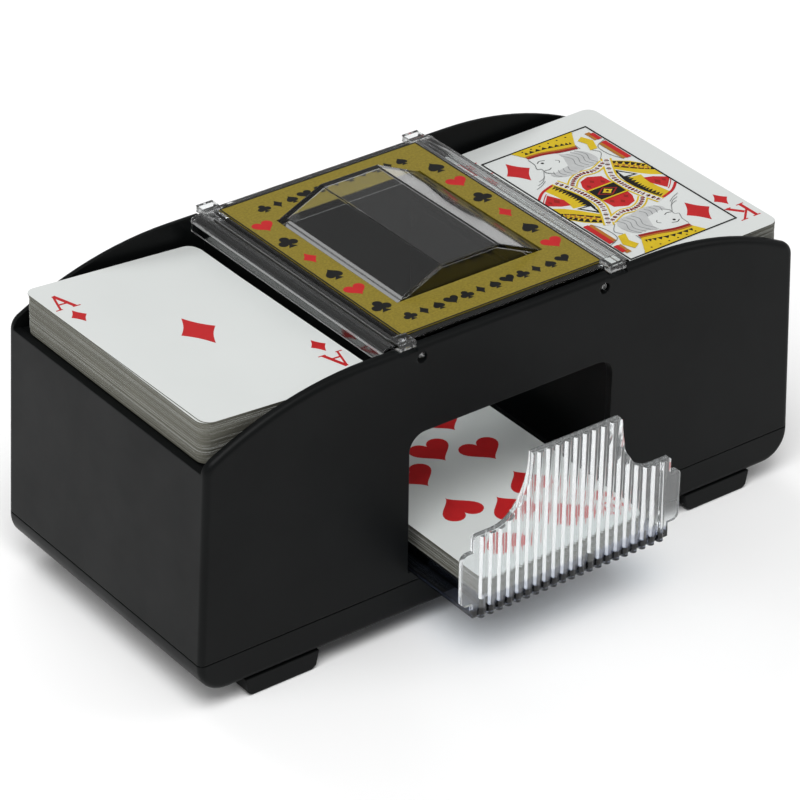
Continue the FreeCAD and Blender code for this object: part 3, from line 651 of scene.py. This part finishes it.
def king_robe():
    """The upper half of the robe as (ink, outlines) pairs, from the paper upwards."""
    lapel = [(-9.2, 13.4), (-7.1, 6.0), (-6.4, 0.0), (-7.0, -6.4), (-12.2, -15.8)]
    collar = [(-6.4, 8.6), (-3.4, 11.3), (0.4, 12.7), (4.8, 12.1), (10.4, 14.4)]
    panel = [(-12.6, 11.6), (-11.7, 6.5), (-11.5, 2.0), (-12.2, -2.4)]
    hem = [(-19.4, -5.8), (-16.8, -9.8), (-12.6, -13.6)]
    braid = [(-18.8, -3.8), (-15.4, -7.6), (-11.6, -12.0)]
    fringe = [(-19.4, -2.0), (-15.8, -5.2), (-10.8, -10.6)]
    cloth = [[(-19.5, 5.0), (-15.7, 8.7), (-13.4, 3.6), (-13.7, 0.0), (-16.4, 1.0), (-19.5, 3.6)]]
    heart = [[(-4.8, 3.5), (4.6, 3.5), (4.3, 8.3), (0.6, 10.3), (-2.8, 9.2), (-4.4, 6.2)]]
    skirt = [[(-19.5, 1.8), (-16.6, -0.4), (-13.8, -3.8), (-9.2, -10.6), (-12.7, -14.0), (-17.0, -10.4),
              (-19.5, -6.6)]]
    spots = [moved([outline_diamond(1.7, 2.4)], u, v)[0] for u, v in ((-2.6, 5.4), (0.0, 7.2), (2.6, 5.4))]
    spots += moved([outline_diamond(2.2, 3.2)], -15.6, 4.2) + moved([outline_diamond(1.4, 2.0)], -17.8, 4.5)
    return [
        ("yellow", skirt + [ribbon(panel, 4.4)]), ("black", teeth(hem, 2.6) + teeth(fringe[::-1], 2.2)),
        ("orange", [ribbon(braid, 1.3)]), ("yellow", rungs(braid, 0.8, 0.9)),
        ("red", cloth + heart), ("deep_red", spots),
        ("red", [ribbon([(-19.5, 7.8), (-15.4, 11.0), (-9.6, 12.8)], 0.9),
                 ribbon([(-19.5, 5.6), (-17.6, 7.6), (-15.4, 9.4)], 0.3)]),
        ("black", [ribbon([(-10.0, 11.8), (-9.0, 6.0), (-8.8, 0.0), (-9.6, -5.2)], 1.7)]
         + teeth([(-9.8, -3.2), (-9.6, 2.0), (-10.0, 6.5), (-11.0, 11.4)], 1.5, 4)
         + [[(-13.8, -2.8), (-8.8, -3.4), (-9.4, -9.4)]]),
        ("white", [[(-12.8, -3.4), (-9.6, -4.0), (-9.9, -7.4)]]),
        ("yellow", [ribbon(collar, 3.2), ribbon(lapel, 3.4)]),
        ("white", [ribbon(collar, 2.1), ribbon(lapel, 2.2)]),
        ("black", rungs(collar, 1.4, 0.5) + rungs(lapel, 1.5, 0.55, 5)),
        ("deep_red", rungs(collar, 0.9, 0.35, 7) + rungs(lapel, 1.0, 0.3, 9)),
    ]


def king_head():
    """Head, crown and staff of the upper half; the face is in profile."""
    face = (-3.2, 21.4)
    wave = [(2.6, 26.2), (5.4, 24.6), (8.4, 24.4), (10.2, 21.6), (10.4, 17.4), (7.6, 15.0), (3.4, 14.8),
            (-0.6, 13.8), (-4.4, 14.4), (-7.0, 16.4), (-6.2, 19.0), (-2.0, 18.4), (0.6, 21.0)]
    locks = [ribbon([(start_u, 25.0), (start_u + 1.6, 21.5), (start_u + 0.4, 18.2),
                     (start_u + 1.4, 15.6)], 0.22) for start_u in (2.4, 4.2, 6.0, 7.6)]
    locks += [ribbon([(start_u, 18.6), (start_u - 0.7, 16.6), (start_u + 0.2, 14.8)], 0.22)
              for start_u in (-5.4, -3.6, -1.8, 0.0)]
    locks += [ribbon([(-7.6 - drop, 20.5 - 1.5 * drop), (-10.0 - drop, 17.4 - drop),
                      (-12.6 - drop, 16.4 - drop)], 0.2) for drop in (0.0, 1.6, 3.2)]
    outline = [ribbon([(-7.0, 28.6), (-7.2, 25.4), (-8.3, 22.8), (-7.2, 22.0), (-7.4, 19.4),
                       (-5.6, 17.6)], 0.28)]
    head = [[(-6.9, 29.4), (-7.0, 25.4), (-8.2, 22.8), (-7.1, 22.0), (-7.2, 19.4), (-5.4, 17.8), (0.4, 19.0),
             (2.4, 24.0), (1.8, 28.4)]]
    marks = [outline_disc(face[0] - 1.6, face[1] + 3.3, 0.5, 12),
             ribbon([(-6.2, 25.4), (-4.8, 26.2), (-3.2, 25.6)], 0.3),
             ribbon([(-7.0, 20.8), (-5.6, 20.4), (-4.4, 20.9)], 0.3),
             ribbon([(-0.6, 24.0), (0.2, 23.0), (-0.6, 22.0)], 0.22)]
    crown = [[(-8.8, 34.6), (14.2, 34.6), (9.6, 27.0), (4.0, 28.2), (-1.5, 29.8), (-6.8, 30.4)]]
    brim = [(-6.7, 29.9), (-1.5, 29.3), (4.0, 27.5), (9.5, 26.2)]
    fur = [ribbon([(9.8, 25.0), (10.4, 29.6), (14.0, 34.2)], 0.25),
           ribbon([(16.4, 12.4), (14.6, 17.4), (15.0, 23.0), (19.4, 25.2)], 0.25),
           ribbon([(10.6, 16.4), (13.4, 19.6), (12.2, 22.2)], 0.22)]
    tassel = [[(11.6, 22.4), (14.2, 22.2), (16.2, 26.8), (14.6, 30.6), (12.2, 29.2), (13.2, 26.0)]]
    staff = [outline_box(16.1, 12.6, 17.3, 24.0), outline_box(16.6, 29.6, 18.4, 31.4),
             outline_box(16.6, 26.4, 17.6, 29.4)]
    staff_red = [outline_box(17.3, 12.2, 19.1, 24.4), outline_box(17.6, 26.2, 19.2, 30.4)]
    return [
        ("grey", [[tuple(point) for point in smooth(wave + wave[:1], 4)[:-1]]]), ("white", head),
        ("line_grey", locks + outline + fur), ("black", marks), ("yellow", crown + tassel),
        ("black", teeth([(-5.8, 31.6), (0.0, 31.2), (6.0, 29.8), (9.6, 28.6)], 1.5)
         + [outline_disc(-5.4 + 3.2 * number, 33.6 - 0.1 * number, 0.32, 8) for number in range(6)]),
        ("deep_red", [ribbon(brim, 1.9)]), ("orange", [ribbon([(u + 0.1, v + 0.5) for u, v in brim], 0.5)]),
        ("orange", staff), ("red", staff_red),
    ]


def king_centre():
    """The square where the two halves meet; it is the same both ways up."""
    return [
        ("yellow", [outline_box(-5.2, -3.6, 5.2, 3.6)]), ("black", [outline_box(-4.7, -3.0, 4.7, 3.0)]),
        ("deep_red", [outline_diamond(7.6, 5.2, 0.0)]), ("black", [outline_diamond(6.0, 4.2, 0.0)]),
        ("yellow", [outline_diamond(3.8, 3.4, 0.1)]), ("black", [outline_disc(0, 0, 0.5, 10)]),
    ]


def right_deck():
    node = "right_card_deck"
    on_top = deck_stack("right_deck_cards", node, "right_deck", 30, 23, 0.16, -0.3,
                        face_height(node, False), face_height(node, True))
    inks = {"red": RED, "deep_red": DEEP_RED, "orange": ORANGE, "yellow": YELLOW, "black": INK,
            "grey": GREY, "line_grey": LINE_GREY, "white": FACE}
    layers = [(ink, both_ways(outlines)) for ink, outlines in king_robe() + king_head()] + king_centre()
    for number, (ink, outlines) in enumerate(layers):
        print_piece("king_layer_%02d_%s" % (number, ink), outlines, inks[ink],
                    "right_deck", on_top, LAYER_STEP * number, LAYER_T)
    corner = moved(letter_k(7.8), -23.6, 33.0) + moved([outline_diamond(5.0, 7.2)], -23.4, 23.6)
    big = moved([outline_diamond(8.6, 12.4)], -13.7, 24.9)
    print_piece("king_index_print", both_ways(corner + big), RED, "right_deck", on_top)
    frame_line = line_round(FRAME_HALF[0], FRAME_HALF[1], FRAME_LINE)
    print_piece("king_frame_print", [frame_line], INK, "right_deck", on_top, 0.0, FRAME_T)


# ---------------------------------------------------------------- cover springs

SPRING_TURNS = 6
SPRING_WIRE_R = 0.22 * MM
SPRING_COIL_R = 0.95 * MM


def add_coil(mesh, centre, low_z, high_z):
    """One open coil of round wire that stands between two heights, with closed ends."""
    steps, sides = 28 * SPRING_TURNS, 12
    rise = high_z - low_z - 2 * SPRING_WIRE_R
    round_wire = [2 * math.pi * side / sides for side in range(sides)]
    rings = []
    for step in range(steps + 1):
        angle = 2 * math.pi * SPRING_TURNS * step / steps
        outward = Vector((math.cos(angle), math.sin(angle), 0.0))
        middle = Vector((*centre, low_z + SPRING_WIRE_R + rise * step / steps)) + outward * SPRING_COIL_R
        rings.append([mesh.verts.new(middle + SPRING_WIRE_R * (math.cos(turn) * outward
                                                               + math.sin(turn) * Vector((0, 0, 1))))
                      for turn in round_wire])
    faces = [mesh.faces.new(rings[0]), mesh.faces.new(rings[-1])]
    for here, there in zip(rings, rings[1:]):
        for side in range(sides):
            beside = (side + 1) % sides
            faces.append(mesh.faces.new((here[side], here[beside], there[beside], there[side])))
    bmesh.ops.recalc_face_normals(mesh, faces=faces)
    for face in faces[2:]:
        face.smooth = True


def cover_springs():
    """Coil springs that stand on the casing's ledges, between the heights of their CAD block."""
    low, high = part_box("cover_springs")
    outer_r = SPRING_COIL_R + SPRING_WIRE_R
    mesh = bmesh.new()
    for x in (low[0] + outer_r, high[0] - outer_r):
        for y in (low[1] + outer_r, high[1] - outer_r):
            add_coil(mesh, (x, y), low[2], high[2])
    piece = finish_piece(mesh, "cover_coil_springs", [SPRING], "housing")
    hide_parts("cover_springs")
    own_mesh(piece)


# ---------------------------------------------------------------- label print

RIM_LINE = 0.5


def label_print():
    """Suit pips down both sides of the label, small ones along its ends, and a line at its edge."""
    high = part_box("cover_label")[1]
    half_x, half_y = high[0] / MM, high[1] / MM
    window_half_x, pip_size, pip_step = 25.6, 6.2, 11.0
    small_size, small_step, row_v = 4.3, 4.9, 36.3

    def place(u, v, lift):
        return (u * MM, v * MM, high[2] + lift * MM)

    left_suits = ("heart", "club", "diamond", "spade", "heart", "club")
    right_suits = ("spade", "heart", "club", "diamond", "spade", "heart")
    red, black = [], []
    band_u = (half_x + window_half_x) / 2
    for side, suits in ((-1, left_suits), (1, right_suits)):
        for number, suit in enumerate(suits):
            pip = moved(suit_shapes(suit, pip_size), side * band_u, (2.5 - number) * pip_step)
            (red if suit in ("heart", "diamond") else black).extend(pip)
    for band_v, count in ((-row_v, 12), (row_v, 11)):
        for number in range(count):
            suit = ("club", "diamond", "spade", "heart")[number % 4]
            u = (number - (count - 1) / 2) * small_step
            black.extend(moved(suit_shapes(suit, small_size), u, band_v))
    rim = line_round(half_x - SHEET_T, half_y - SHEET_T, RIM_LINE)
    print_piece("label_red_print", red, RED, "cover", place)
    print_piece("label_black_print", black, INK, "cover", place)
    print_piece("label_line_print", [rim], INK, "cover", place)


# ---------------------------------------------------------------- studio

CAMERA_TARGET = Vector((-0.00233, 0.0, 0.03941))
CAMERA_DISTANCE = 1.14718
CAMERA_AZIMUTH = math.radians(-37.28)
CAMERA_ELEVATION = math.radians(31.64)
CAMERA_ROLL = math.radians(0.74)
CAMERA_LENS = 178.23


def add_camera():
    azimuth, elevation = CAMERA_AZIMUTH, CAMERA_ELEVATION
    back = Vector((math.sin(azimuth) * math.cos(elevation),
                   -math.cos(azimuth) * math.cos(elevation), math.sin(elevation)))
    right = Vector((math.cos(azimuth), math.sin(azimuth), 0.0))
    up = back.cross(right)
    rolled_right = right * math.cos(CAMERA_ROLL) + up * math.sin(CAMERA_ROLL)
    rolled_up = up * math.cos(CAMERA_ROLL) - right * math.sin(CAMERA_ROLL)
    data = bpy.data.cameras.new("camera")
    data.lens = CAMERA_LENS
    camera = bpy.data.objects.new("camera", data)
    turn = Matrix((rolled_right, rolled_up, back)).transposed().to_4x4()
    camera.matrix_world = Matrix.Translation(CAMERA_TARGET + back * CAMERA_DISTANCE) @ turn
    bpy.context.scene.collection.objects.link(camera)
    bpy.context.scene.camera = camera


def add_light(name, place, size, power):
    data = bpy.data.lights.new(name, "AREA")
    data.shape = "RECTANGLE"
    data.size, data.size_y = size
    data.energy = power
    lamp = bpy.data.objects.new(name, data)
    lamp.location = place
    lamp.rotation_mode = "QUATERNION"
    lamp.rotation_quaternion = (Vector((0, 0, 0.04)) - Vector(place)).to_track_quat("-Z", "Y")
    bpy.context.scene.collection.objects.link(lamp)


def add_studio():
    mesh = bmesh.new()
    reach, drop = 3.0, -0.0003
    corners = [mesh.verts.new((x, y, drop)) for x, y in
               ((-reach, -reach), (reach, -reach), (reach, reach), (-reach, reach))]
    mesh.faces.new(corners)
    data = bpy.data.meshes.new("floor")
    mesh.to_mesh(data)
    mesh.free()
    material, tree, shader = new_material("pale_floor")
    shader.inputs["Base Color"].default_value = (0.92, 0.92, 0.92, 1.0)
    shader.inputs["Roughness"].default_value = 0.9
    shader.inputs["Specular IOR Level"].default_value = 0.0
    data.materials.append(material)
    floor = bpy.data.objects.new("floor", data)
    bpy.context.scene.collection.objects.link(floor)
    world = bpy.data.worlds.new("studio")
    world.use_nodes = True
    world.node_tree.nodes["Background"].inputs["Color"].default_value = (1.0, 1.0, 1.0, 1.0)
    world.node_tree.nodes["Background"].inputs["Strength"].default_value = 0.32
    bpy.context.scene.world = world
    add_light("key", (-0.45, -0.5, 1.4), (1.0, 1.0), 17.0)
    add_light("fill", (1.1, -0.6, 0.9), (0.9, 0.9), 4.0)
    add_light("side", (-1.3, 0.1, 0.55), (0.8, 0.8), 5.0)
    add_light("back", (0.2, 1.2, 1.0), (1.2, 0.7), 8.0)
    for name in ("back", "side"):
        bpy.data.objects[name].visible_glossy = False
        bpy.data.objects[name].visible_transmission = False
    bpy.context.scene.view_settings.view_transform = "Standard"


dress_cad_nodes()
left_deck()
right_deck()
drawer_stack()
cover_springs()
label_print()
add_camera()
add_studio()
